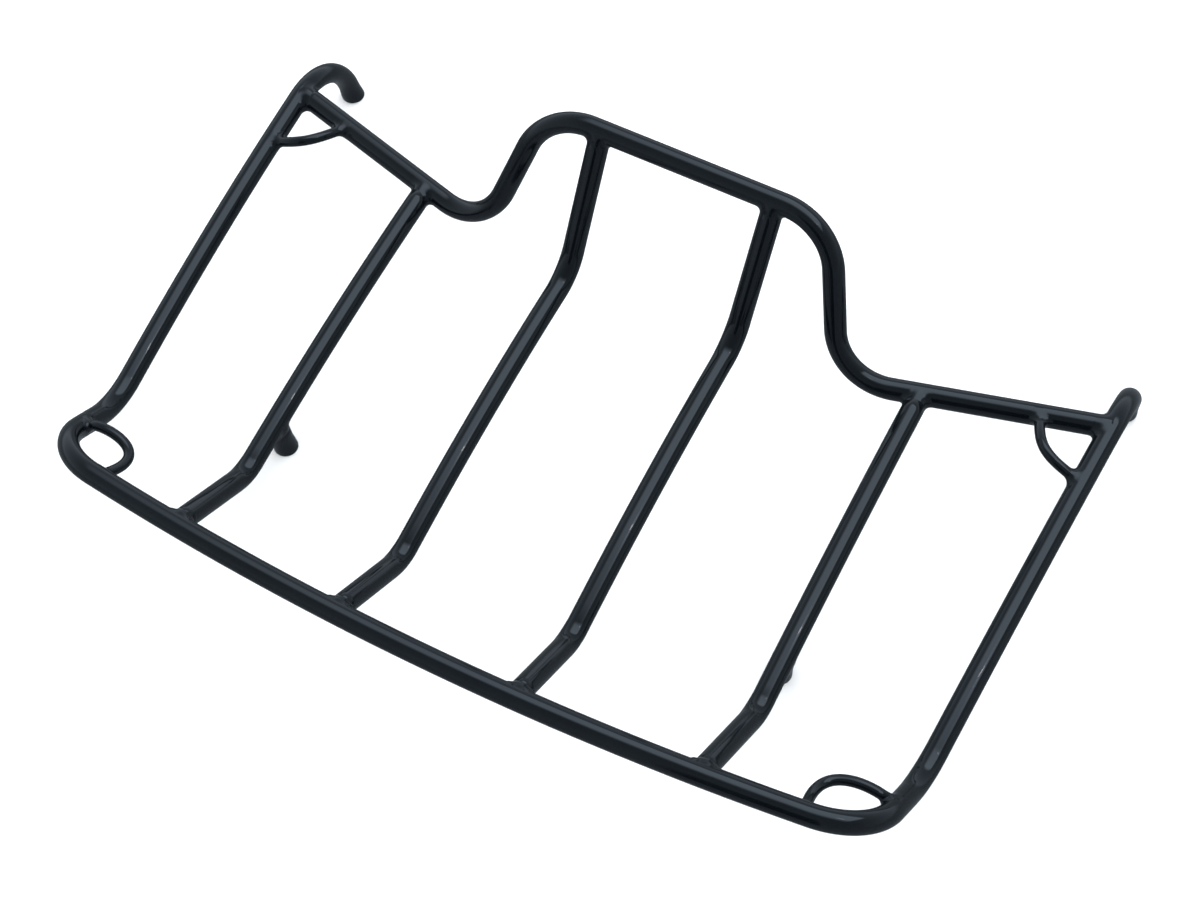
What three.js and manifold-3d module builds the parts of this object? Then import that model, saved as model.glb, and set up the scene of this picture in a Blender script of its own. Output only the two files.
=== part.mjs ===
// Luggage rack for the trunk lid of a touring motorcycle: a welded frame of bent round tube.
// A bowed front rail, two side rails and two curled rear feet are one long tube. A back rail rises into a
// raised hoop, four slats run fore and aft, and bent rod makes a tie-down eye in each corner.
// The rack stands on four feet at z = 0. +X is its right side, +Y its back, +Z up, all in millimetres.
import * as THREE from "three";
import { mergeVertices } from "three/addons/utils/BufferGeometryUtils.js";
import Module from "manifold-3d";

const wasm = await Module();
wasm.setup();

// Stock
const TUBE_OD = 12.7;
const TUBE_WALL = 1.6;
const ROD_OD = 6;
const THREAD_BORE = 5; // tapping size of the M6 thread in each foot
const PLUG_LENGTH = 16;
const POST_BORE_DEPTH = 15;
const TUBE_WELD = 2; // bead radius where tube meets tube
const ROD_WELD = 1.7; // bead radius where rod meets tube
const GAP = 0.3; // clearance kept between neighbouring pieces

// Facets
const TUBE_SIDES = 12;
const BORE_SIDES = 8;
const ROD_SIDES = 8;
const CHORD_ERROR = 0.2;
const ROD_STEPS = 12;
const BEAD_SIDES = 5;
const BEAD_STEPS = 12;

// Tube runs. A corner is [x, y, z, bend radius]; the bend is an arc tangent to both neighbours.
const FRONT_Z = 57.8;
const BOW_RADIUS = 1849;
const BOW_VERTEX_Y = -11.8; // where the tangents of the bow's two ends cross
const FRONT_CORNER = [245, 15.9, FRONT_Z, 37];
const SIDE_KINK = [250.5, 73.3, 15.6, 43];
const SIDE_CROWN = [255.1, 185.7, 39.1, 1350];
const SIDE_BACK = [259.7, 298.1, 47.4]; // the back rail meets the side rail here
const FOOT_BEND = [261.2, 333.8, 50, 44.3];
const REAR_FOOT = [257.1, 342.7, 0];

const BACK_SWEEP = [112.8, 260, 44.2, 36];
const HOOP_CORNER = [87.2, 297, 127.3, 37];

const OUTER_SLAT_X = 156.1;
const OUTER_SLAT = [
  [158.8, 67.9, 17.4, 26],
  [158.4, 169.9, 38.5, 1280],
];
const OUTER_SLAT_BACK_X = 158;
const INNER_SLAT_X = 53.7;
const INNER_SLAT = [
  [52.9, 59, 20.8, 26],
  [52.6, 155.6, 44.3, 900],
  [52.4, 252.1, 50.7, 29],
];
const INNER_SLAT_BACK = [53.2, HOOP_CORNER[1], HOOP_CORNER[2]];

const POST_TOP = [158.6, 101.7, 24.3];
const POST_FOOT = [155.9, 102.7, 0];

// Tie-down eyes: the four control points of a cubic curve from rail to rail
const FRONT_EYE = [
  [211.5, 11.9, FRONT_Z],
  [199.2, 52.9, 24.7],
  [229, 44.3, 56],
  [247.9, 46.5, 35.1],
];
const BACK_EYE = [
  [221.8, 288.3, 46.6],
  [229.7, 262.6, 57.6],
  [234.4, 259.2, 56.4],
  [258.1, 259.7, 44.4],
];

// The two ends of a path, as places in its list of stations
const START = 0;
const END = -1;

// A curve known at chosen stations, so that straight runs take one step and bends take many
class StationPath extends THREE.Curve {
  constructor(stations) {
    super();
    this.stations = stations;
  }
  at(t) {
    return this.stations[Math.round(t * (this.stations.length - 1))];
  }
  getPoint(t, target = new THREE.Vector3()) {
    return target.copy(this.at(t).point);
  }
  getPointAt(t, target) {
    return this.getPoint(t, target);
  }
  getTangentAt(t, target = new THREE.Vector3()) {
    return target.copy(this.at(t).tangent);
  }
  getSpacedPoints() {
    return this.stations.map(({ point }) => point.clone());
  }
  // The same path with straight ends longer by the given lengths
  lengthened(atStart, atEnd = atStart) {
    const moved = ({ point, tangent }, length) => ({
      point: point.clone().addScaledVector(tangent, length),
      tangent,
    });
    const longer = [...this.stations];
    longer[0] = moved(longer[0], -atStart);
    longer.push(moved(longer.pop(), atEnd));
    return new StationPath(longer);
  }
}

// Straight runs between corners, joined by tangent arcs
function bentPath(corners) {
  const points = corners.map(([x, y, z]) => new THREE.Vector3(x, y, z));
  const directions = points.slice(1).map((p, i) => p.clone().sub(points[i]).normalize());
  const stations = [{ point: points[0], tangent: directions[0] }];
  for (let i = 1; i < points.length - 1; i++) {
    const [into, out] = [directions[i - 1], directions[i]];
    const radius = corners[i][3];
    const turn = into.angleTo(out);
    const axis = into.clone().cross(out).normalize();
    const start = points[i].clone().addScaledVector(into, -radius * Math.tan(turn / 2));
    if (start.clone().sub(stations.at(-1).point).dot(into) < 0) {
      throw new Error("bends overlap at corner " + corners[i]);
    }
    const centre = start.clone().addScaledVector(axis.clone().cross(into), radius);
    const steps = Math.ceil(turn / (2 * Math.acos(1 - CHORD_ERROR / radius)));
    for (let k = 0; k <= steps; k++) {
      const angle = (turn * k) / steps;
      stations.push({
        point: start.clone().sub(centre).applyAxisAngle(axis, angle).add(centre),
        tangent: into.clone().applyAxisAngle(axis, angle),
      });
    }
  }
  stations.push({ point: points.at(-1), tangent: directions.at(-1) });
  return new StationPath(stations);
}

// A smooth rod path sampled evenly along a cubic curve
function eyePath(controls) {
  const curve = new THREE.CubicBezierCurve3(...controls.map((c) => new THREE.Vector3(...c)));
  const stations = Array.from({ length: ROD_STEPS + 1 }, (_, i) => ({
    point: curve.getPointAt(i / ROD_STEPS),
    tangent: curve.getTangentAt(i / ROD_STEPS),
  }));
  return new StationPath(stations);
}

function solidOf(geometry) {
  const bare = geometry.clone().deleteAttribute("normal").deleteAttribute("uv");
  const merged = mergeVertices(bare, 1e-4);
  return new wasm.Manifold(
    new wasm.Mesh({
      numProp: 3,
      vertProperties: new Float32Array(merged.attributes.position.array),
      triVerts: new Uint32Array(merged.index.array),
    }),
  );
}

function meshOf(solid, name, material) {
  const { vertProperties, triVerts } = solid.getMesh();
  const geometry = new THREE.BufferGeometry()
    .setAttribute("position", new THREE.BufferAttribute(vertProperties, 3))
    .setIndex(new THREE.BufferAttribute(triVerts, 1));
  geometry.computeVertexNormals();
  const mesh = new THREE.Mesh(geometry, material);
  mesh.name = name;
  return mesh;
}

function sweep(path, diameter, sides) {
  const corners = Array.from({ length: sides }, (_, i) => {
    const angle = (2 * Math.PI * i) / sides;
    return new THREE.Vector2(Math.cos(angle), Math.sin(angle)).multiplyScalar(diameter / 2);
  });
  const steps = path.stations.length - 1;
  return solidOf(new THREE.ExtrudeGeometry(new THREE.Shape(corners), { steps, extrudePath: path }));
}

// Room that a neighbour leaves round a tube
const clearance = (path, diameter = TUBE_OD) => sweep(path, diameter + 2 * GAP, TUBE_SIDES);

// A tube open at both ends
const hollow = (path) =>
  sweep(path, TUBE_OD, TUBE_SIDES).subtract(
    sweep(path.lengthened(1), TUBE_OD - 2 * TUBE_WALL, BORE_SIDES),
  );

// The direction of a path where it passes closest to a point
function directionNear(path, point) {
  const spans = path.stations.slice(1).map(({ point: end }, i) => {
    const start = path.stations[i].point;
    const line = new THREE.Line3(start, end);
    const near = line.closestPointToPoint(point, true, new THREE.Vector3());
    return { distance: near.distanceTo(point), direction: line.delta(new THREE.Vector3()) };
  });
  spans.sort((a, b) => a.distance - b.distance);
  return spans[0].direction.normalize();
}

// The end of a branch that is welded to another tube, and the direction from there into the branch
function endOf(path, which) {
  const { point, tangent } = path.stations.at(which);
  return { point, away: tangent.clone().multiplyScalar(which === START ? 1 : -1) };
}

// The bead round a branch's end: a ring whose every point is slid along the branch until the ring's
// centre line lies on the main tube's surface, then cut clear of both tubes
function bead(branch, which, main, branchOD = TUBE_OD, radius = TUBE_WELD) {
  const { point: end, away } = endOf(branch, which);
  const along = directionNear(main, end);
  const ring = new THREE.TorusGeometry(branchOD / 2, radius, BEAD_SIDES, BEAD_STEPS);
  const upright = new THREE.Quaternion().setFromUnitVectors(new THREE.Vector3(0, 0, 1), away);
  const awayAcross = away.clone().addScaledVector(along, -away.dot(along));
  const position = ring.attributes.position;
  for (let i = 0; i < position.count; i++) {
    const vertex = new THREE.Vector3().fromBufferAttribute(position, i);
    const spoke = new THREE.Vector3(vertex.x, vertex.y, 0).setLength(branchOD / 2);
    spoke.applyQuaternion(upright);
    const across = spoke.clone().addScaledVector(along, -spoke.dot(along));
    const half = across.dot(awayAcross);
    const root = half ** 2 - awayAcross.lengthSq() * (across.lengthSq() - (TUBE_OD / 2) ** 2);
    const slide = (Math.sqrt(Math.max(root, 0)) - half) / awayAcross.lengthSq();
    vertex.applyQuaternion(upright).addScaledVector(away, slide).add(end);
    position.setXYZ(i, vertex.x, vertex.y, vertex.z);
  }
  return solidOf(ring).subtract(clearance(main)).subtract(clearance(branch, branchOD));
}

const blackGloss = () =>
  new THREE.MeshStandardMaterial({ color: 0x14181d, roughness: 0.28, metalness: 0.1 });
const weldBlack = () =>
  new THREE.MeshStandardMaterial({ color: 0x14181d, roughness: 0.38, metalness: 0.1 });
const zincPlate = () =>
  new THREE.MeshStandardMaterial({ color: 0xa9aaa4, roughness: 0.4, metalness: 0.9 });

const mirrored = (corners, side) => corners.map(([x, ...rest]) => [side * x, ...rest]);
const bowY = (x) => BOW_RADIUS - Math.sqrt(BOW_RADIUS ** 2 - x ** 2);

// A point of the back rail's swept outer run at a given x
function onBackRail(x) {
  const share = (SIDE_BACK[0] - x) / (SIDE_BACK[0] - BACK_SWEEP[0]);
  return SIDE_BACK.map((value, i) => value + share * (BACK_SWEEP[i] - value));
}

const rack = new THREE.Group();
const add = (solid, name, material = blackGloss()) => rack.add(meshOf(solid, name, material));
const addWeld = (name, ...joint) => add(bead(...joint), name + "_weld", weldBlack());

const ground = solidOf(new THREE.BoxGeometry(700, 600, 80).translate(0, 170, -40));

// The perimeter tube, from the left foot round the front to the right foot
const sideRun = [REAR_FOOT, FOOT_BEND, SIDE_CROWN, SIDE_KINK, FRONT_CORNER];
const perimeter = bentPath([
  ...mirrored(sideRun, -1),
  [0, BOW_VERTEX_Y, FRONT_Z, BOW_RADIUS],
  ...[...sideRun].reverse(),
]);
const throughGround = perimeter.lengthened(TUBE_OD);
const roundPerimeter = clearance(throughGround);
add(hollow(throughGround).subtract(ground), "perimeter_rail");

// The back rail with its raised hoop
const backRun = [SIDE_BACK, BACK_SWEEP, HOOP_CORNER];
const backRail = bentPath([...mirrored(backRun, -1), ...[...backRun].reverse()]);
const roundBackRail = clearance(backRail);
add(hollow(backRail).subtract(roundPerimeter), "back_rail");

const outerSlat = [
  [OUTER_SLAT_X, bowY(OUTER_SLAT_X), FRONT_Z],
  ...OUTER_SLAT,
  onBackRail(OUTER_SLAT_BACK_X),
];
const innerSlat = [[INNER_SLAT_X, bowY(INNER_SLAT_X), FRONT_Z], ...INNER_SLAT, INNER_SLAT_BACK];

function addSlat(name, corners) {
  const path = bentPath(corners);
  add(hollow(path).subtract(roundPerimeter).subtract(roundBackRail), name);
  addWeld(name + "_front", path, START, perimeter);
  addWeld(name + "_back", path, END, backRail);
  return path;
}

// A tie-down eye of bent rod from the front or back rail to the side rail
function addEye(name, controls, rail) {
  const path = eyePath(controls);
  const rod = sweep(path, ROD_OD, ROD_SIDES);
  add(rod.subtract(roundPerimeter).subtract(roundBackRail), name);
  addWeld(name + "_rail", path, START, rail, ROD_OD, ROD_WELD);
  addWeld(name + "_side", path, END, perimeter, ROD_OD, ROD_WELD);
}

// A mounting post under a slat, with a blind tapped hole in its foot
function addPost(name, [top, foot], slat) {
  const path = bentPath([top, foot]);
  const bore = bentPath([path.lengthened(0, -POST_BORE_DEPTH).getPoint(1).toArray(), foot]);
  const post = sweep(path.lengthened(0, TUBE_OD), TUBE_OD, TUBE_SIDES)
    .subtract(clearance(slat))
    .subtract(sweep(bore.lengthened(0, TUBE_OD), THREAD_BORE, BORE_SIDES))
    .subtract(ground);
  add(post, name);
  addWeld(name, path, START, slat);
}

// The threaded plug inside a curled rear foot; outward points down and out of the foot
function addPlug(name, { point: foot, tangent }, side) {
  const outward = tangent.clone().multiplyScalar(side);
  const path = new StationPath([
    { point: foot.clone().addScaledVector(outward, -PLUG_LENGTH), tangent: outward },
    { point: foot, tangent: outward },
  ]);
  const boreFlats = (TUBE_OD - 2 * TUBE_WALL) * Math.cos(Math.PI / BORE_SIDES);
  const plug = sweep(path.lengthened(0, TUBE_OD), boreFlats - 2 * GAP, BORE_SIDES)
    .subtract(sweep(path.lengthened(1, 2 * TUBE_OD), THREAD_BORE, BORE_SIDES))
    .subtract(ground);
  add(plug, name, zincPlate());
}

for (const [side, hand] of [[-1, "left"], [1, "right"]]) {
  const outer = addSlat("outer_slat_" + hand, mirrored(outerSlat, side));
  addSlat("inner_slat_" + hand, mirrored(innerSlat, side));
  addEye("front_tie_eye_" + hand, mirrored(FRONT_EYE, side), perimeter);
  addEye("back_tie_eye_" + hand, mirrored(BACK_EYE, side), backRail);
  addPost("mounting_post_" + hand, mirrored([POST_TOP, POST_FOOT], side), outer);
  const end = side < 0 ? START : END;
  addPlug("foot_plug_" + hand, perimeter.stations.at(end), side);
  addWeld("back_rail_" + hand, backRail, end, perimeter);
}

// The origin is under the middle of the rack, on the plane of its feet
const box = new THREE.Box3().setFromObject(rack);
rack.position.y = -(box.min.y + box.max.y) / 2;

export default rack;
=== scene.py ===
"""Looks of the tubular luggage rack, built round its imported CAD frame.

Every tube is swept again along the run it has in the CAD, smooth and hollow, slightly oval in its tight
bends and cut to the saddle where it meets another tube. Each weld is a surface blended between its two
tubes, with the lumps and ripples of its bead. The feet have tapped holes with a real thread.
Lengths in this script are millimetres until a mesh is made; lights and the floor are in metres.
"""

import math

import bpy
import numpy as np
from mathutils import Matrix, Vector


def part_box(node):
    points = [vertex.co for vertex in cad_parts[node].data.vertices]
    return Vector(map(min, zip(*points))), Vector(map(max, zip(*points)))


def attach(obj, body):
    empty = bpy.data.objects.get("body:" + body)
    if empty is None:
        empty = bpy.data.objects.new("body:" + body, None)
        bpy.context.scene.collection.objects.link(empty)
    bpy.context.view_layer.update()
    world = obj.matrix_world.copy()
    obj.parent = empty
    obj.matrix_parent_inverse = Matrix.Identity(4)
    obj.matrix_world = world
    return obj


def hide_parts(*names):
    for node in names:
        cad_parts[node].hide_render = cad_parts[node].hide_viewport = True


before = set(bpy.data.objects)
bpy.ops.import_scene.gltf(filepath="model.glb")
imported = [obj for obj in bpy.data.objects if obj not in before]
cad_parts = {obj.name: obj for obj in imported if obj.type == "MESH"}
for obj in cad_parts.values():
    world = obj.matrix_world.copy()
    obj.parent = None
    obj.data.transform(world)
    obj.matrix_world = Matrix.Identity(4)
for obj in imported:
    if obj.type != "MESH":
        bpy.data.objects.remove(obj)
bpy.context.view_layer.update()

MM = 0.001

# Stock
TUBE_R = 6.35
TUBE_WALL = 1.6
ROD_R = 3.0
THREAD_R = 2.5
THREAD_PITCH = 1.0
THREAD_DEPTH = 0.45
PLUG_LENGTH = 16.0
POST_BORE_DEPTH = 15.0

# Feet: the tube swells a little towards the floor, and its edge is eased
FOOT_SWELL = 0.65
FOOT_SWELL_HEIGHT = 11.0
FOOT_EASE = 0.6
FOOT_HEIGHTS = (0.0, 0.04, 0.12, 0.26, 0.6, 1.5, 3.0, 4.5, 6.0, 7.5)

# Bends: how far a tight bend flattens the tube, and how much of that goes into its width
TIGHT_BEND = 300.0
OVAL_PER_TIGHTNESS = 0.16
MOST_OVAL = 0.10
OVAL_EASE = 2.4
OVAL_SPREAD = 0.45

# Cuts: how far tube ends are slid, and how deep they lie under the tube that they meet
SLIDE_REACH = 26.0
SLIDE_HALVINGS = 26
FLOOR_BACK = 12.0
SADDLE_SINK = 0.35
END_DIP = 0.06
ROW_GAP = 0.6

# Facets
TUBE_SIDES = 48
ROD_SIDES = 36
STRAIGHT_STEP = 12.0
BEND_STEP = 1.6
EYE_STEPS = 64
THREAD_SIDES = 48
ROWS_PER_TURN = 8

# Tube runs, as in the CAD: a corner is (x, y, z, bend radius)
FRONT_Z = 57.8
BOW_RADIUS = 1849.0
BOW_VERTEX_Y = -11.8
REAR_FOOT = (257.1, 342.7, 0.0)
SIDE_BACK = (259.7, 298.1, 47.4)
SIDE_RUN = [
    REAR_FOOT,
    (261.2, 333.8, 50.0, 44.3),
    (255.1, 185.7, 39.1, 1350.0),
    (250.5, 73.3, 15.6, 43.0),
    (245.0, 15.9, FRONT_Z, 37.0),
]
BACK_SWEEP = (112.8, 260.0, 44.2, 36.0)
HOOP_CORNER = (87.2, 297.0, 127.3, 37.0)
BACK_RUN = [SIDE_BACK, BACK_SWEEP, HOOP_CORNER]
OUTER_SLAT_X = 156.1
OUTER_SLAT = [(158.8, 67.9, 17.4, 26.0), (158.4, 169.9, 38.5, 1280.0)]
OUTER_SLAT_BACK_X = 158.0
INNER_SLAT_X = 53.7
INNER_SLAT = [(52.9, 59.0, 20.8, 26.0), (52.6, 155.6, 44.3, 900.0), (52.4, 252.1, 50.7, 29.0)]
INNER_SLAT_BACK = (53.2, HOOP_CORNER[1], HOOP_CORNER[2])
POST_TOP = (158.6, 101.7, 24.3)
POST_FOOT = (155.9, 102.7, 0.0)
FRONT_EYE = [(211.5, 11.9, FRONT_Z), (199.2, 52.9, 24.7), (229.0, 44.3, 56.0), (247.9, 46.5, 35.1)]
BACK_EYE = [(221.8, 288.3, 46.6), (229.7, 262.6, 57.6), (234.4, 259.2, 56.4), (258.1, 259.7, 44.4)]

# The front of the bow touches the front face of the CAD box, which gives the shift of the whole rack
SHIFT = np.array([0.0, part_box("perimeter_rail")[0].y / MM + TUBE_R, 0.0])
START, END = 0, -1
TINY = 1e-3  # the share of a ring that closes a cap


def unit(v):
    return v / np.linalg.norm(v, axis=-1, keepdims=True)


def mirrored(corners, side):
    return [(side * c[0], *c[1:]) for c in corners]


def bow_y(x):
    return BOW_RADIUS - math.sqrt(BOW_RADIUS**2 - x**2)


def on_back_rail(x):
    share = (SIDE_BACK[0] - x) / (SIDE_BACK[0] - BACK_SWEEP[0])
    return tuple(a + share * (b - a) for a, b in zip(SIDE_BACK, BACK_SWEEP))


# ---------------------------------------------------------------- paths


class Path:
    """Points and directions along a run, with how oval the tube is at each and towards where."""

    def __init__(self, points, tangents, oval=None, inward=None):
        self.points = np.array(points, float)
        self.tangents = unit(np.array(tangents, float))
        n = len(self.points)
        self.oval = np.zeros(n) if oval is None else np.array(oval, float)
        self.inward = np.zeros((n, 3)) if inward is None else np.array(inward, float)

    def end(self, which):
        """An end point, and the direction from it into the tube."""
        return self.points[which], self.tangents[which] * (1 if which == START else -1)

    def near(self, point, reach=45.0):
        """The stretch of the path round a point: starts and ends of its segments, with how oval they are."""
        close = np.linalg.norm(self.points - point, axis=1) < reach
        close = close[:-1] | close[1:]
        return [(part[:-1][close], part[1:][close]) for part in (self.points, self.oval, self.inward)]


def bent_path(corners):
    """Straight runs joined by arcs tangent to both. Tight bends flatten the tube a little."""
    knots = [np.array(c[:3], float) for c in corners]
    dirs = [unit(b - a) for a, b in zip(knots, knots[1:])]
    points, tangents, oval, inward = [knots[0]], [dirs[0]], [0.0], [np.zeros(3)]

    def straight(to, direction):
        start = points[-1]
        length = (to - start) @ direction
        steps = max(1, int(math.ceil(length / STRAIGHT_STEP)))
        for k in range(1, steps + 1):
            points.append(start + direction * length * k / steps)
            tangents.append(direction)
            oval.append(0.0)
            inward.append(np.zeros(3))

    for i in range(1, len(knots) - 1):
        into, out, radius = dirs[i - 1], dirs[i], corners[i][3]
        turn = math.acos(float(np.clip(into @ out, -1, 1)))
        axis = unit(np.cross(into, out))
        start = knots[i] - into * radius * math.tan(turn / 2)
        straight(start, into)
        toward = np.cross(axis, into)
        centre = start + toward * radius
        tight = radius < TIGHT_BEND
        flat = min(MOST_OVAL, OVAL_PER_TIGHTNESS * 2 * TUBE_R / radius) if tight else 0.0
        steps = max(4, int(math.ceil(radius * turn / (BEND_STEP if tight else STRAIGHT_STEP))))
        for k in range(1, steps + 1):
            angle = turn * k / steps
            c, s = math.cos(angle), math.sin(angle)
            points.append(centre - toward * radius * c + into * radius * s)
            tangents.append(into * c + toward * s)
            ease = math.sin(math.pi * min(1.0, OVAL_EASE * min(k, steps - k) / steps) / 2)
            oval.append(flat * ease)
            inward.append(toward * c - into * s)
    straight(knots[-1], dirs[-1])
    return Path(points, tangents, oval, inward)


def eye_path(controls):
    """A cubic curve of bent rod, in even steps."""
    c = np.array(controls, float)

    def curve(t):
        return (1 - t) ** 3 * c[0] + 3 * (1 - t) ** 2 * t * c[1] + 3 * (1 - t) * t**2 * c[2] + t**3 * c[3]

    t = np.linspace(0, 1, EYE_STEPS * 8 + 1)[:, None]
    length = np.r_[0, np.cumsum(np.linalg.norm(np.diff(curve(t), axis=0), axis=1))]
    t = np.interp(np.linspace(0, length[-1], EYE_STEPS + 1), length, t[:, 0])[:, None]
    along = (1 - t) ** 2 * (c[1] - c[0]) + 2 * (1 - t) * t * (c[2] - c[1]) + t**2 * (c[3] - c[2])
    return Path(curve(t), along)


def oval_scale(oval, lean):
    """How a bent tube's radius changes: less towards the inside and outside of the bend, more across it."""
    return 1 + oval * (OVAL_SPREAD - (1 + OVAL_SPREAD) * lean**2)


def distance(segments, q, radius):
    """Distance from points q to the surface of a tube of that radius round the segments, and its slope."""
    (a, b), oval, inward = segments
    d = b - a
    t = np.clip(np.einsum("nsk,sk->ns", q[:, None] - a[None], d) / (d * d).sum(1), 0, 1)
    gap = q[:, None] - (a[None] + t[..., None] * d[None])
    far = np.linalg.norm(gap, axis=2)
    best = far.argmin(1)
    rows = np.arange(len(q))
    slope = unit(gap[rows, best] + 1e-12)
    share = t[rows, best]
    oval_here = oval[0][best] * (1 - share) + oval[1][best] * share
    inward_here = inward[0][best] * (1 - share)[:, None] + inward[1][best] * share[:, None]
    return far[rows, best] - radius * oval_scale(oval_here, (slope * inward_here).sum(1)), slope


# ---------------------------------------------------------------- meshes


def mesh_object(name, rows, closed_rows=False, material=None, crisp=()):
    """A surface from rows of points, each row a closed ring. closed_rows joins the last row to the first.

    The rings numbered in crisp are sharp edges.
    """
    rows = np.array(rows, float)
    count, sides = rows.shape[:2]
    index = np.arange(count * sides).reshape(count, sides)
    upper = np.roll(index, -1, axis=0) if closed_rows else index[1:]
    lower = index if closed_rows else index[:-1]
    faces = np.stack([lower, np.roll(lower, -1, 1), np.roll(upper, -1, 1), upper], -1).reshape(-1, 4)
    mesh = bpy.data.meshes.new(name)
    mesh.from_pydata(((rows.reshape(-1, 3) + SHIFT) * MM).tolist(), [], faces.tolist())
    mesh.shade_smooth()
    if crisp:
        for edge in mesh.edges:
            row = edge.vertices[0] // sides
            edge.use_edge_sharp = row in crisp and row == edge.vertices[1] // sides
    mesh.update()
    obj = bpy.data.objects.new(name, mesh)
    bpy.context.scene.collection.objects.link(obj)
    mesh.materials.append(material)
    outward = sum(p.area * (p.center @ p.normal) for p in mesh.polygons)
    if outward < 0:
        mesh.flip_normals()
    return obj


def transported(path):
    """Two directions across the path at each station, turning as little as possible along it."""
    t = path.tangents
    first = np.cross(t[0], [0, 0, 1.0])
    if np.linalg.norm(first) < 0.1:
        first = np.cross(t[0], [1.0, 0, 0])
    across = [unit(first)]
    for i in range(1, len(t)):
        v = across[-1] - t[i] * (across[-1] @ t[i])
        across.append(unit(v))
    across = np.array(across)
    return across, np.cross(t, across)


def ring_rows(path, radius, sides):
    """Rings round the path, oval where the path says."""
    u, v = transported(path)
    angle = np.linspace(0, 2 * math.pi, sides, endpoint=False)
    spokes = np.cos(angle)[None, :, None] * u[:, None] + np.sin(angle)[None, :, None] * v[:, None]
    inward = np.einsum("nsk,nk->ns", spokes, path.inward)
    scale = oval_scale(path.oval[:, None], inward)
    return path.points[:, None] + radius * scale[..., None] * spokes


def slid(row, away, goal, back=0.0):
    """A ring slid along a direction until goal, which grows along it, is zero at each of its points."""
    low, high = np.full(len(row), -back), np.full(len(row), SLIDE_REACH)
    for _ in range(SLIDE_HALVINGS):
        middle = (low + high) / 2
        value = goal(row + middle[:, None] * away)
        low, high = np.where(value < 0, middle, low), np.where(value < 0, high, middle)
    return row + high[:, None] * away


def trimmed(rows, path, which, goal):
    """The rows of a sweep with one end cut along goal, and the rows that the cut passes left out."""
    point, away = path.end(which)
    rows = rows if which == START else rows[::-1]
    cut = slid(rows[0], away, goal, back=FLOOR_BACK if goal is to_floor else 0.0)
    if goal is not to_floor:
        axis = point + ((cut - point) @ away)[:, None] * away
        cut = axis + (cut - axis) * (1 - END_DIP / TUBE_R)
    furthest = ((cut - point) @ away).max() + ROW_GAP
    first = next(i for i, r in enumerate(rows) if i and ((r - point) @ away).min() > furthest)
    rows = np.array([cut, *rows[first:]])
    return rows if which == START else rows[::-1]


def to_floor(q):
    """The cut that ends a foot on the floor."""
    return q[:, 2]


def onto(path, point):
    """The cut that follows a tube's surface, a little below it."""
    segments = path.near(point)

    def goal(q):
        return distance(segments, q, TUBE_R - SADDLE_SINK)[0]

    return goal


def foot_radius(radius, height):
    """How a foot swells towards the floor, and the easing of its edge."""
    swell = FOOT_SWELL * (0.5 + 0.5 * np.cos(math.pi * np.clip(height / FOOT_SWELL_HEIGHT, 0, 1)))
    drop = np.clip(1 - height / FOOT_EASE, 0, 1)
    return radius + swell - FOOT_EASE * (1 - np.sqrt(1 - drop**2))


def footed(rows, path, which):
    """The rows of a tube whose end stands on the floor, with rows added for the swell and the eased edge."""
    away = path.end(which)[1]
    rows = rows if which == START else rows[::-1]
    first = []
    for height in FOOT_HEIGHTS:
        ring = slid(rows[0], away, lambda q: q[:, 2] - height, back=FLOOR_BACK)
        centre = ring.mean(0)
        reach = np.linalg.norm(np.cross(ring - centre, away), axis=1, keepdims=True)
        first.append(centre + (ring - centre) * foot_radius(reach, height) / reach)
    rest = next(i for i, r in enumerate(rows) if i and r[:, 2].min() > FOOT_HEIGHTS[-1] + 1)
    rows = np.array([*first, *rows[rest:]])
    return rows if which == START else rows[::-1]


def capped(ring):
    """The ring that closes a solid end, drawn in to its middle."""
    return ring.mean(0) + (ring - ring.mean(0)) * TINY


def tube(name, path, start, end, radius=TUBE_R, sides=TUBE_SIDES, wall=TUBE_WALL, material=None):
    """A swept tube, hollow where it has a wall, with each end cut by its goal."""
    walls = []
    for r in [radius] if wall is None else [radius, radius - wall]:
        rows = ring_rows(path, r, sides)
        if start is to_floor and r == radius:
            walls.append(footed(footed(rows, path, START), path, END))
        else:
            walls.append(trimmed(trimmed(rows, path, START, start), path, END, end))
    if wall is None:
        rows = walls[0]
        return mesh_object(name, [capped(rows[0]), *rows, capped(rows[-1])], material=material)
    outer, inner = walls
    return mesh_object(name, [*outer, *inner[::-1]], closed_rows=True, material=material)


# ---------------------------------------------------------------- welds

WELD_ANGLES = 168
WELD_PROFILE = 11
RIPPLE_PITCH = 2.1
RIPPLE_BOW = 0.55
WELD_SINK = 0.03
WELD_DEPTH = 0.8
WELD_TOE = 0.05  # how far both edges of a weld lie under their tubes
TOP_CROWN = 0.20  # more crown where the seam runs over the top of both tubes
BLEND_POWER = 0.6  # how fast the fillet dies out where the two tubes are tangent
CLOSED, OPENED = 0.12, 0.62  # how open the crotch is where ripples begin, and where they are in full
LUMP_WAVES = (2, 3, 5, 7)
LUMP_LOW, LUMP_HIGH = -0.4, 1.2
LUMP_ON_TOP = 0.35
SEED = (0.37, 0.61, 0.83)
OFF_AXIS = (0.31, 0.42, 0.85)  # a direction that no tube here lies along
SEARCH_FROM, SEARCH_TO, SEARCH_STEP = -10.0, 22.0, 0.25


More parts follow.
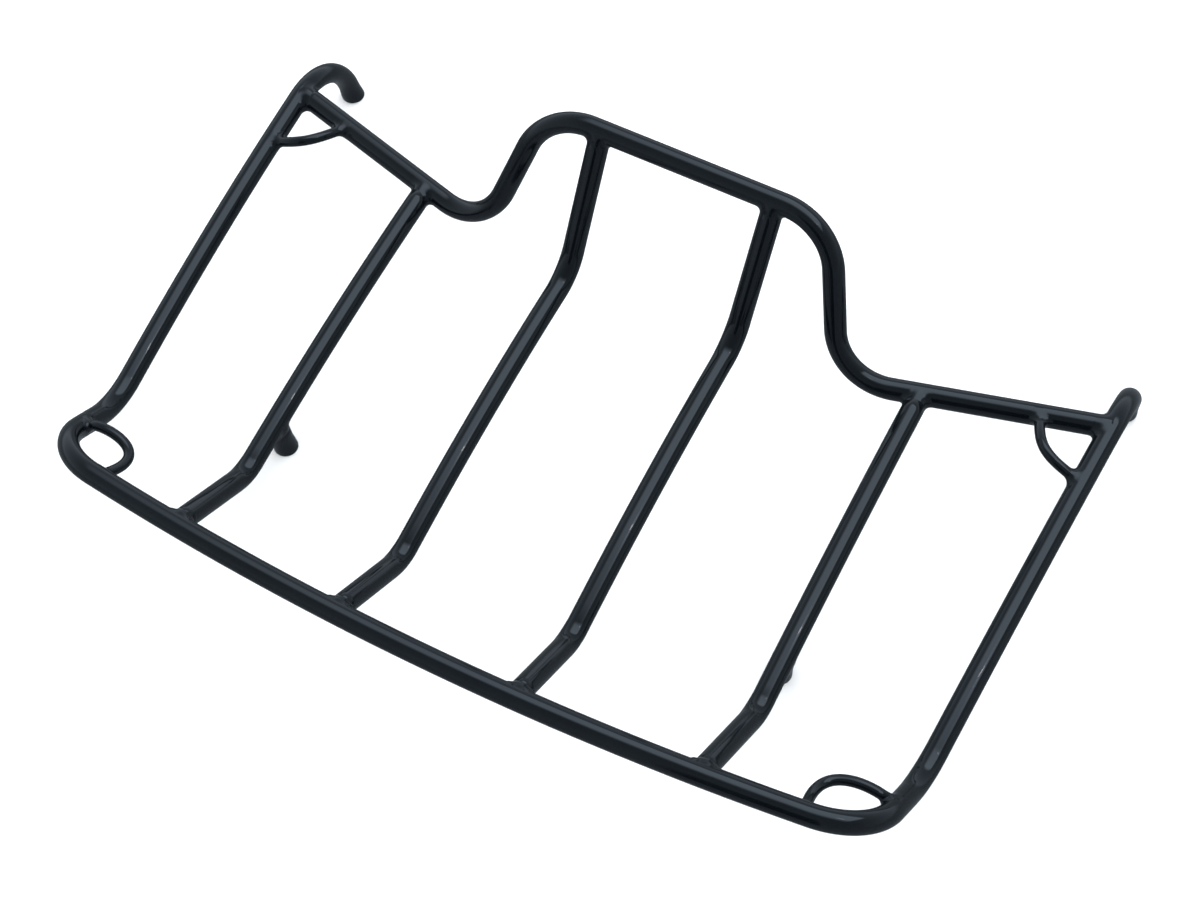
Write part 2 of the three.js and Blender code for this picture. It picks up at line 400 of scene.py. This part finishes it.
def weld(name, branch, which, main, branch_r, reach, material, ripple=0.03, crown=0.06, lump=0.13):
    """The weld round a branch's end: a surface blended between both tubes, with lumps and ripples.

    Its rows run from the branch to the main tube, and then back inside the two of them.
    """
    end, away = branch.end(which)
    on_main = main.near(end)
    on_branch = branch.near(end)
    u = unit(np.cross(away, OFF_AXIS))
    v = np.cross(away, u)
    angle = np.linspace(0, 2 * math.pi, WELD_ANGLES, endpoint=False)
    spokes = np.cos(angle)[:, None] * u + np.sin(angle)[:, None] * v

    def settle(q, segments, radius, depth=0.0):
        for _ in range(4):
            d, slope = distance(segments, q, radius)
            q = q - (d + depth)[:, None] * slope
        return q

    # The edge on the branch, and the edge on the main tube
    high = slid(end + spokes * branch_r, away, lambda q: distance(on_main, q, TUBE_R + reach)[0])
    high = settle(high, on_branch, branch_r)
    steps = np.arange(SEARCH_FROM, SEARCH_TO, SEARCH_STEP)
    line = (end + spokes * (branch_r + reach))[:, None] + steps[None, :, None] * away
    d = distance(on_main, line.reshape(-1, 3), TUBE_R)[0].reshape(len(spokes), -1)
    inside = d < 0
    last = len(steps) - 1 - inside[:, ::-1].argmax(1)
    pick = np.where(inside.any(1), last, d.argmin(1))
    low = settle(line[np.arange(len(spokes)), pick], on_main, TUBE_R)

    def field(q):
        d1, n1 = distance(on_main, q, TUBE_R)
        d2, n2 = distance(on_branch, q, branch_r)
        k = reach * np.clip(1 - (n1 * n2).sum(1), 0, 1) ** BLEND_POWER + 1e-6
        h = np.clip(0.5 + 0.5 * (d2 - d1) / k, 0, 1)
        value = d2 * (1 - h) + d1 * h - k * h * (1 - h)
        return value, unit(n2 * (1 - h)[:, None] + n1 * h[:, None])

    rows = []
    for s in np.linspace(0, 1, WELD_PROFILE):
        q = high * (1 - s) + low * s
        for _ in range(8):
            value, slope = field(q)
            q = q - value[:, None] * slope
        rows.append(q)
    middle = rows[WELD_PROFILE // 2]
    step = np.linalg.norm(np.roll(middle, -1, 0) - middle, axis=1)
    along = np.r_[0, np.cumsum(step)[:-1]] / step.sum()
    beads = round(step.sum() / RIPPLE_PITCH)
    open_angle = 1 - (distance(on_main, middle, TUBE_R)[1] * distance(on_branch, middle, branch_r)[1]).sum(1)
    fade = np.clip((open_angle - CLOSED) / (OPENED - CLOSED), 0, 1)
    fade = fade * fade * (3 - 2 * fade)
    seed = float(abs(end @ np.array(SEED)))
    uneven = sum(np.sin(2 * math.pi * n * along + seed * n) / n for n in LUMP_WAVES)
    out = []
    for s, q in zip(np.linspace(0, 1, WELD_PROFILE), rows):
        slope = field(q)[1]
        wave = 0.5 + 0.5 * np.cos(2 * math.pi * (beads * along + RIPPLE_BOW * (2 * s - 1) ** 2))
        height = crown + TOP_CROWN * (1 - fade) + ripple * wave * fade
        height += lump * np.clip(uneven, LUMP_LOW, LUMP_HIGH) * (LUMP_ON_TOP + (1 - LUMP_ON_TOP) * fade)
        out.append(q + (math.sin(math.pi * s) ** 2 * height - WELD_SINK)[:, None] * slope)
    out[0] = settle(out[0], on_branch, branch_r, WELD_TOE)
    out[-1] = settle(out[-1], on_main, TUBE_R, WELD_TOE)
    hidden = [q - WELD_DEPTH * field(q)[1] for q in rows[::-2]]
    return mesh_object(name, out + hidden, closed_rows=True, material=material, crisp=(0, WELD_PROFILE - 1))


# ---------------------------------------------------------------- tapped ends


MOUTH = 0.7  # how deep the countersink of a tapped hole is
LEAD_IN = ((MOUTH + 0.15, 0.0), (MOUTH * 0.6, 0.35), (0.05, MOUTH))  # past the thread's radius, and height
THREAD_STEEPNESS, THREAD_FLAT = 1.35, 0.2
EASE_FROM, EASE_TO, EASE_ROWS = 0.35, 1.57, 5
SIDE_ROW = 1.5
DRILL_POINT = 1.5


def thread_rows(depth, mouth):
    """The radii round a tapped bore, and the height, of each of its rows."""
    rows = []
    count = int(round(depth / THREAD_PITCH * ROWS_PER_TURN))
    angle = np.linspace(0, 2 * math.pi, THREAD_SIDES, endpoint=False)
    for k in range(count + 1):
        height = mouth + (depth - mouth) * k / count
        phase = (height / THREAD_PITCH - angle / (2 * math.pi)) % 1.0
        crest = 1 - np.abs(2 * phase - 1)
        fade = min(1.0, (height - mouth) / THREAD_PITCH, (depth - height) / THREAD_PITCH)
        tooth = np.clip(THREAD_STEEPNESS * crest - THREAD_FLAT, 0, 1)
        rows.append((THREAD_R + THREAD_DEPTH * fade * tooth, height))
    return rows


def tapped(name, foot, up, outer_r, length, bore_depth, material, top=None, ease=0.6):
    """A round bar that stands on z = 0 and leans along up, with a threaded hole in its foot.

    With a top it swells at the foot, is cut off by that goal and its hole is blind. Without one it is
    straight and the hole goes right through.
    """
    up = unit(np.array(up, float))
    foot = np.array(foot, float)
    u = unit(np.cross(up, [0.0, 1.0, 0.0]))
    v = np.cross(up, u)
    angle = np.linspace(0, 2 * math.pi, THREAD_SIDES, endpoint=False)
    spokes = np.cos(angle)[:, None] * u + np.sin(angle)[:, None] * v
    blind = top is not None

    def row(radius, height):
        q = foot + spokes * (np.ones(THREAD_SIDES) * radius)[:, None]
        q = q - up * (q[:, 2] / up[2])[:, None]
        return q + up * height

    def outer(height):
        return foot_radius(outer_r, height) if blind else outer_r

    outside = [row(outer(h), h) for h in np.linspace(length, ease, max(2, int(length / SIDE_ROW)))]
    if blind:
        outside[0] = slid(outside[0], -up, top)
        lowest = ((outside[0] - foot) @ up).min() - 0.5
        outside = [outside[0]] + [r for r in outside[1:] if ((r - foot) @ up).max() < lowest]
    easing = [
        row(outer(ease) - ease * (1 - math.cos(a)), ease * (1 - math.sin(a)))
        for a in np.linspace(EASE_FROM, EASE_TO, EASE_ROWS)
    ]
    lead = [row(THREAD_R + past, h) for past, h in LEAD_IN]
    bore = [row(r, h) for r, h in thread_rows(bore_depth, MOUTH)]
    rows = outside + easing + lead + bore
    if not blind:
        return mesh_object(name, rows, closed_rows=True, material=material)
    tip = [row(THREAD_R * (1 - f) + 0.002, bore_depth + DRILL_POINT * f) for f in (0.5, 1.0)]
    return mesh_object(name, [capped(outside[0])] + rows + tip, material=material)


# ---------------------------------------------------------------- materials


def principled(name, **values):
    material = bpy.data.materials.new(name)
    material.use_nodes = True
    shader = material.node_tree.nodes["Principled BSDF"]
    for key, value in values.items():
        shader.inputs[key.replace("_", " ")].default_value = value
    return material, material.node_tree, shader


def noise(tree, coordinates, scale, detail, roughness):
    node = tree.nodes.new("ShaderNodeTexNoise")
    node.inputs["Scale"].default_value = scale
    node.inputs["Detail"].default_value = detail
    node.inputs["Roughness"].default_value = roughness
    tree.links.new(coordinates.outputs["Object"], node.inputs["Vector"])
    return node


def ramp(tree, source, low, high, start=0.3, stop=0.7):
    node = tree.nodes.new("ShaderNodeMapRange")
    node.inputs["From Min"].default_value = start
    node.inputs["From Max"].default_value = stop
    node.inputs["To Min"].default_value = low
    node.inputs["To Max"].default_value = high
    tree.links.new(source, node.inputs["Value"])
    return node.outputs["Result"]


def mixed(tree, factor, first, second):
    node = tree.nodes.new("ShaderNodeMix")
    node.data_type = "RGBA"
    node.inputs["A"].default_value = (*first, 1)
    node.inputs["B"].default_value = (*second, 1)
    tree.links.new(factor, node.inputs["Factor"])
    return node.outputs["Result"]


def bump(tree, height, strength, distance_m, below=None):
    node = tree.nodes.new("ShaderNodeBump")
    node.inputs["Strength"].default_value = strength
    node.inputs["Distance"].default_value = distance_m
    tree.links.new(height, node.inputs["Height"])
    if below is not None:
        tree.links.new(below, node.inputs["Normal"])
    return node.outputs["Normal"]


BLACK_DEEP, BLACK_PALE = (0.0014, 0.0022, 0.0032), (0.0022, 0.0034, 0.0048)
ZINC_DULL, ZINC_BRIGHT = (0.46, 0.46, 0.43), (0.66, 0.66, 0.63)


def black_coat(name, rough, peel, spatter=0.0):
    """Gloss black powder coat: a blue-black colour with a little cloudiness, orange peel and a clear top."""
    material, tree, shader = principled(
        name,
        Metallic=0.0,
        IOR=1.5,
        Specular_IOR_Level=0.5,
        Specular_Tint=(0.86, 0.93, 1.0, 1.0),
        Coat_Weight=0.55,
        Coat_Roughness=0.02,
        Coat_IOR=1.5,
    )
    at = tree.nodes.new("ShaderNodeTexCoord")
    cloud = noise(tree, at, 26.0, 4.0, 0.55)
    fine = noise(tree, at, 900.0, 2.0, 0.5)
    colour = mixed(tree, ramp(tree, cloud.outputs["Fac"], 0, 1), BLACK_DEEP, BLACK_PALE)
    tree.links.new(colour, shader.inputs["Base Color"])
    tree.links.new(ramp(tree, cloud.outputs["Fac"], rough * 0.85, rough * 1.2), shader.inputs["Roughness"])
    peeled = noise(tree, at, 420.0, 1.5, 0.4)
    normal = bump(tree, peeled.outputs["Fac"], peel, 0.00006)
    normal = bump(tree, fine.outputs["Fac"], 0.06 + spatter, 0.00003, normal)
    tree.links.new(normal, shader.inputs["Normal"])
    return material


def zinc(name):
    """Plated steel with faint turning marks and a dull bloom."""
    material, tree, shader = principled(name, Metallic=1.0)
    at = tree.nodes.new("ShaderNodeTexCoord")
    bloom = noise(tree, at, 300.0, 5.0, 0.6)
    colour = mixed(tree, ramp(tree, bloom.outputs["Fac"], 0, 1), ZINC_DULL, ZINC_BRIGHT)
    tree.links.new(colour, shader.inputs["Base Color"])
    tree.links.new(ramp(tree, bloom.outputs["Fac"], 0.26, 0.44), shader.inputs["Roughness"])
    grain = noise(tree, at, 2600.0, 2.0, 0.5)
    tree.links.new(bump(tree, grain.outputs["Fac"], 0.25, 0.00002), shader.inputs["Normal"])
    return material


COAT = black_coat("gloss_black_coat", 0.11, 0.12)
WELD_COAT = black_coat("gloss_black_coat_on_welds", 0.13, 0.2, 0.05)
ZINC = zinc("zinc_plated_steel")


# ---------------------------------------------------------------- the rack


def place(piece, slot, *nodes):
    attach(piece, "root")
    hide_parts(*nodes)
    return piece


perimeter = bent_path(
    [*mirrored(SIDE_RUN, -1), (0.0, BOW_VERTEX_Y, FRONT_Z, BOW_RADIUS), *SIDE_RUN[::-1]]
)
back_rail = bent_path([*mirrored(BACK_RUN, -1), *BACK_RUN[::-1]])

place(tube("rail_perimeter", perimeter, to_floor, to_floor, material=COAT), "frame", "perimeter_rail")
place(
    tube(
        "rail_back_hoop",
        back_rail,
        onto(perimeter, back_rail.points[START]),
        onto(perimeter, back_rail.points[END]),
        material=COAT,
    ),
    "frame",
    "back_rail",
)

TUBE_FILLET = 3.6
CORNER_FILLET = 4.8
ROD_FILLET = 3.8
BACK_ROD_FILLET = 4.8
POST_FILLET = 3.0
FRONT_BEAD = {"reach": 3.0, "ripple": 0.10, "crown": 0.50, "lump": 0.34}
ROD_RIPPLE = 0.015
CORNER_RIPPLE = 0.0
PLUG_SLACK = 0.05
PLUG_EASE = 0.3


def join(name, branch, which, main, radius=TUBE_R, reach=TUBE_FILLET, **bead):
    piece = weld("weld_" + name, branch, which, main, radius, reach, WELD_COAT, **bead)
    place(piece, "weld", name + "_weld")


def slat(name, corners):
    path = bent_path(corners)
    piece = tube(
        "tube_" + name,
        path,
        onto(perimeter, path.points[START]),
        onto(back_rail, path.points[END]),
        material=COAT,
    )
    place(piece, "frame", name)
    join(name + "_front", path, START, perimeter, **FRONT_BEAD)
    join(name + "_back", path, END, back_rail)
    return path


def eye(name, controls, rail, fillet):
    path = eye_path(controls)
    piece = tube(
        "rod_" + name,
        path,
        onto(rail, path.points[START]),
        onto(perimeter, path.points[END]),
        radius=ROD_R,
        sides=ROD_SIDES,
        wall=None,
        material=COAT,
    )
    place(piece, "frame", name)
    join(name + "_rail", path, START, rail, ROD_R, fillet, ripple=ROD_RIPPLE)
    join(name + "_side", path, END, perimeter, ROD_R, fillet, ripple=ROD_RIPPLE)


for side, hand in ((-1, "left"), (1, "right")):
    outer_run = [
        (OUTER_SLAT_X, bow_y(OUTER_SLAT_X), FRONT_Z),
        *OUTER_SLAT,
        on_back_rail(OUTER_SLAT_BACK_X),
    ]
    inner_run = [(INNER_SLAT_X, bow_y(INNER_SLAT_X), FRONT_Z), *INNER_SLAT, INNER_SLAT_BACK]
    outer = slat("outer_slat_" + hand, mirrored(outer_run, side))
    slat("inner_slat_" + hand, mirrored(inner_run, side))
    eye("front_tie_eye_" + hand, mirrored(FRONT_EYE, side), perimeter, ROD_FILLET)
    eye("back_tie_eye_" + hand, mirrored(BACK_EYE, side), back_rail, BACK_ROD_FILLET)

    top, foot = (np.array(c) for c in mirrored([POST_TOP, POST_FOOT], side))
    post_name = "mounting_post_" + hand
    post = tapped(
        "post_" + hand,
        foot,
        top - foot,
        TUBE_R,
        float(np.linalg.norm(top - foot)),
        POST_BORE_DEPTH,
        COAT,
        top=onto(outer, top),
    )
    place(post, "frame", post_name)
    join(post_name, bent_path([tuple(top), tuple(foot)]), START, outer, TUBE_R, POST_FILLET)

    which = START if side < 0 else END
    foot, up = perimeter.end(which)
    plug = tapped(
        "insert_" + hand,
        foot,
        up,
        TUBE_R - TUBE_WALL - PLUG_SLACK,
        PLUG_LENGTH,
        PLUG_LENGTH,
        ZINC,
        ease=PLUG_EASE,
    )
    place(plug, "thread", "foot_plug_" + hand)
    join("back_rail_" + hand, back_rail, which, perimeter, TUBE_R, CORNER_FILLET, ripple=CORNER_RIPPLE)


# ---------------------------------------------------------------- floor, light and camera

# Each range is (low edge, high edge, softness of each). The softbox is as x and y per unit of z.
SOFTBOX_X = (-0.45, 0.88, 0.30, 0.07)
SOFTBOX_Y = (-0.02, 1.0, 0.22, 0.10)
SOFTBOX_LEVEL = 1.24
# The walls, how much they change from the front right to the back left, and how they darken upwards
ROOM_LEVEL = 0.42
ROOM_SWING = 0.30
ROOM_TO_BACK, ROOM_TO_RIGHT = 0.6, -0.5
ROOM_DIM_OVERHEAD = 0.62
ABOVE_FLOOR = (-0.02, 3.0, 0.10, 0.10)
FLOOR_LEVEL = 0.20
# A black card low in front, as x per unit of -y and as z
CARD_X = (-0.09, 0.36, 0.02, 0.02)
CARD_Z = (-0.12, 0.58, 0.03, 0.05)
CARD_DARKNESS = 0.93
COOL = (0.77, 0.885, 1.0)
LEAST_RISE = 0.02
LEAST_AHEAD = 0.001

FLOOR_HALF = 8.0
FLOOR_COLOUR = (0.86, 0.86, 0.86, 1)
SUN_LEVEL = 4.6
SUN_SPREAD = 2.6
STRIP_AT, STRIP_AIM = np.array([1.17, 0.22, 2.0]), np.array([0.2, 0.1, 0.0])
STRIP_SIZE = (0.022, 0.36)
STRIP_WATTS = 0.26

SCENE = bpy.context.scene
SCENE.view_settings.view_transform = "Standard"
SCENE.view_settings.look = "None"

floor_material, _, floor_shader = principled("pale_floor", Roughness=0.9)
floor_shader.inputs["Base Color"].default_value = FLOOR_COLOUR
floor_shader.inputs["Specular IOR Level"].default_value = 0.0
floor_mesh = bpy.data.meshes.new("floor")
floor_corners = [(x * FLOOR_HALF, y * FLOOR_HALF, 0) for x, y in ((-1, -1), (1, -1), (1, 1), (-1, 1))]
floor_mesh.from_pydata(floor_corners, [], [(0, 1, 2, 3)])
floor = bpy.data.objects.new("floor", floor_mesh)
floor_mesh.materials.append(floor_material)
SCENE.collection.objects.link(floor)
floor.visible_glossy = False

# The room that the gloss shows: dim in front and to the right, paler behind and to the left, with one wide
# softbox overhead. A ray's slope x/z and y/z says where it meets a ceiling at unit height. The camera sees
# plain white.
world = bpy.data.worlds.new("studio")
SCENE.world = world
world.use_nodes = True
wt = world.node_tree
background = wt.nodes["Background"]


def math_node(operation, *values):
    node = wt.nodes.new("ShaderNodeMath")
    node.operation = operation
    for socket, value in zip(node.inputs, values):
        if isinstance(value, (int, float)):
            socket.default_value = value
        else:
            wt.links.new(value, socket)
    return node.outputs[0]


def between(value, low, high, low_soft, high_soft):
    """1 inside a range and 0 outside, with soft edges."""
    edges = []
    for edge, sign, soft in ((low, 1.0, low_soft), (high, -1.0, high_soft)):
        node = wt.nodes.new("ShaderNodeMapRange")
        node.interpolation_type = "SMOOTHSTEP"
        node.inputs["From Min"].default_value = edge - sign * soft
        node.inputs["From Max"].default_value = edge + sign * soft
        wt.links.new(value, node.inputs["Value"])
        edges.append(node.outputs["Result"])
    return math_node("MULTIPLY", *edges)


coordinates = wt.nodes.new("ShaderNodeTexCoord")
ray = wt.nodes.new("ShaderNodeSeparateXYZ")
wt.links.new(coordinates.outputs["Generated"], ray.inputs["Vector"])
ray_x, ray_y, ray_z = ray.outputs["X"], ray.outputs["Y"], ray.outputs["Z"]
rise = math_node("MAXIMUM", ray_z, LEAST_RISE)
box_x = between(math_node("DIVIDE", ray_x, rise), *SOFTBOX_X)
box_y = between(math_node("DIVIDE", ray_y, rise), *SOFTBOX_Y)
box = math_node("MULTIPLY", box_x, box_y)
lean = math_node(
    "ADD",
    math_node("MULTIPLY", ray_y, ROOM_TO_BACK),
    math_node("MULTIPLY", ray_x, ROOM_TO_RIGHT),
)
side_level = math_node("MULTIPLY_ADD", lean, ROOM_SWING, ROOM_LEVEL)
walls = math_node("MULTIPLY", side_level, math_node("MULTIPLY_ADD", ray_z, -ROOM_DIM_OVERHEAD, 1.0))
above = between(ray_z, *ABOVE_FLOOR)
room = math_node("MULTIPLY_ADD", math_node("SUBTRACT", walls, FLOOR_LEVEL), above, FLOOR_LEVEL)
ahead = math_node("MAXIMUM", math_node("MULTIPLY", ray_y, -1.0), LEAST_AHEAD)
card_x = between(math_node("DIVIDE", ray_x, ahead), *CARD_X)
card = math_node("MULTIPLY", card_x, between(ray_z, *CARD_Z))
bare = math_node("MULTIPLY", room, math_node("MULTIPLY_ADD", card, -CARD_DARKNESS, 1.0))
level = math_node("MULTIPLY_ADD", box, SOFTBOX_LEVEL, bare)
cool = wt.nodes.new("ShaderNodeCombineColor")
for channel, share in zip(("Red", "Green", "Blue"), COOL):
    wt.links.new(math_node("MULTIPLY", level, share), cool.inputs[channel])
seen = wt.nodes.new("ShaderNodeLightPath")
view = wt.nodes.new("ShaderNodeMix")
view.data_type = "RGBA"
view.inputs["B"].default_value = (1.0, 1.0, 1.0, 1)
wt.links.new(seen.outputs["Is Camera Ray"], view.inputs["Factor"])
wt.links.new(cool.outputs["Color"], view.inputs["A"])
wt.links.new(view.outputs["Result"], background.inputs["Color"])
background.inputs["Strength"].default_value = 1.0


# Fill that only the floor answers to, since the paint has almost no colour of its own
sun_data = bpy.data.lights.new("fill_over", "SUN")
sun_data.energy = SUN_LEVEL
sun_data.angle = SUN_SPREAD
sun = bpy.data.objects.new("fill_over", sun_data)
sun.visible_glossy = False
SCENE.collection.objects.link(sun)

# A thin lamp that draws a fine line along the tubes on the right
strip_data = bpy.data.lights.new("strip_right", "AREA")
strip_data.shape = "RECTANGLE"
strip_data.size, strip_data.size_y = STRIP_SIZE
strip_data.energy = STRIP_WATTS
strip = bpy.data.objects.new("strip_right", strip_data)
strip_forward = unit(STRIP_AIM - STRIP_AT)
strip_right = unit(np.cross(strip_forward, [0.0, 0.0, 1.0]))
strip_up = np.cross(strip_right, strip_forward)
strip.matrix_world = Matrix(
    [[strip_right[i], strip_up[i], -strip_forward[i], STRIP_AT[i]] for i in range(3)] + [[0, 0, 0, 1]]
)
strip.visible_glossy = True
SCENE.collection.objects.link(strip)

# The camera's place, in the same frame as the tube runs, and its three directions
CAMERA_AT = (378.173, -454.042, 1178.692)
RIGHT = (0.880625, 0.473209, -0.023931)
DOWN = (0.390016, -0.752633, -0.530501)
FORWARD = (-0.269049, 0.457839, -0.847346)
FOCAL_MM = 73.587
SENSOR_MM = 36.0
NEAR_M, FAR_M = 0.05, 60.0

camera_data = bpy.data.cameras.new("camera")
camera_data.sensor_fit = "HORIZONTAL"
camera_data.sensor_width = SENSOR_MM
camera_data.lens = FOCAL_MM
camera_data.clip_start, camera_data.clip_end = NEAR_M, FAR_M
camera = bpy.data.objects.new("camera", camera_data)
spot = (np.array(CAMERA_AT) + SHIFT) * MM
camera.matrix_world = Matrix(
    [[RIGHT[i], -DOWN[i], -FORWARD[i], spot[i]] for i in range(3)] + [[0, 0, 0, 1]]
)
SCENE.collection.objects.link(camera)
SCENE.camera = camera
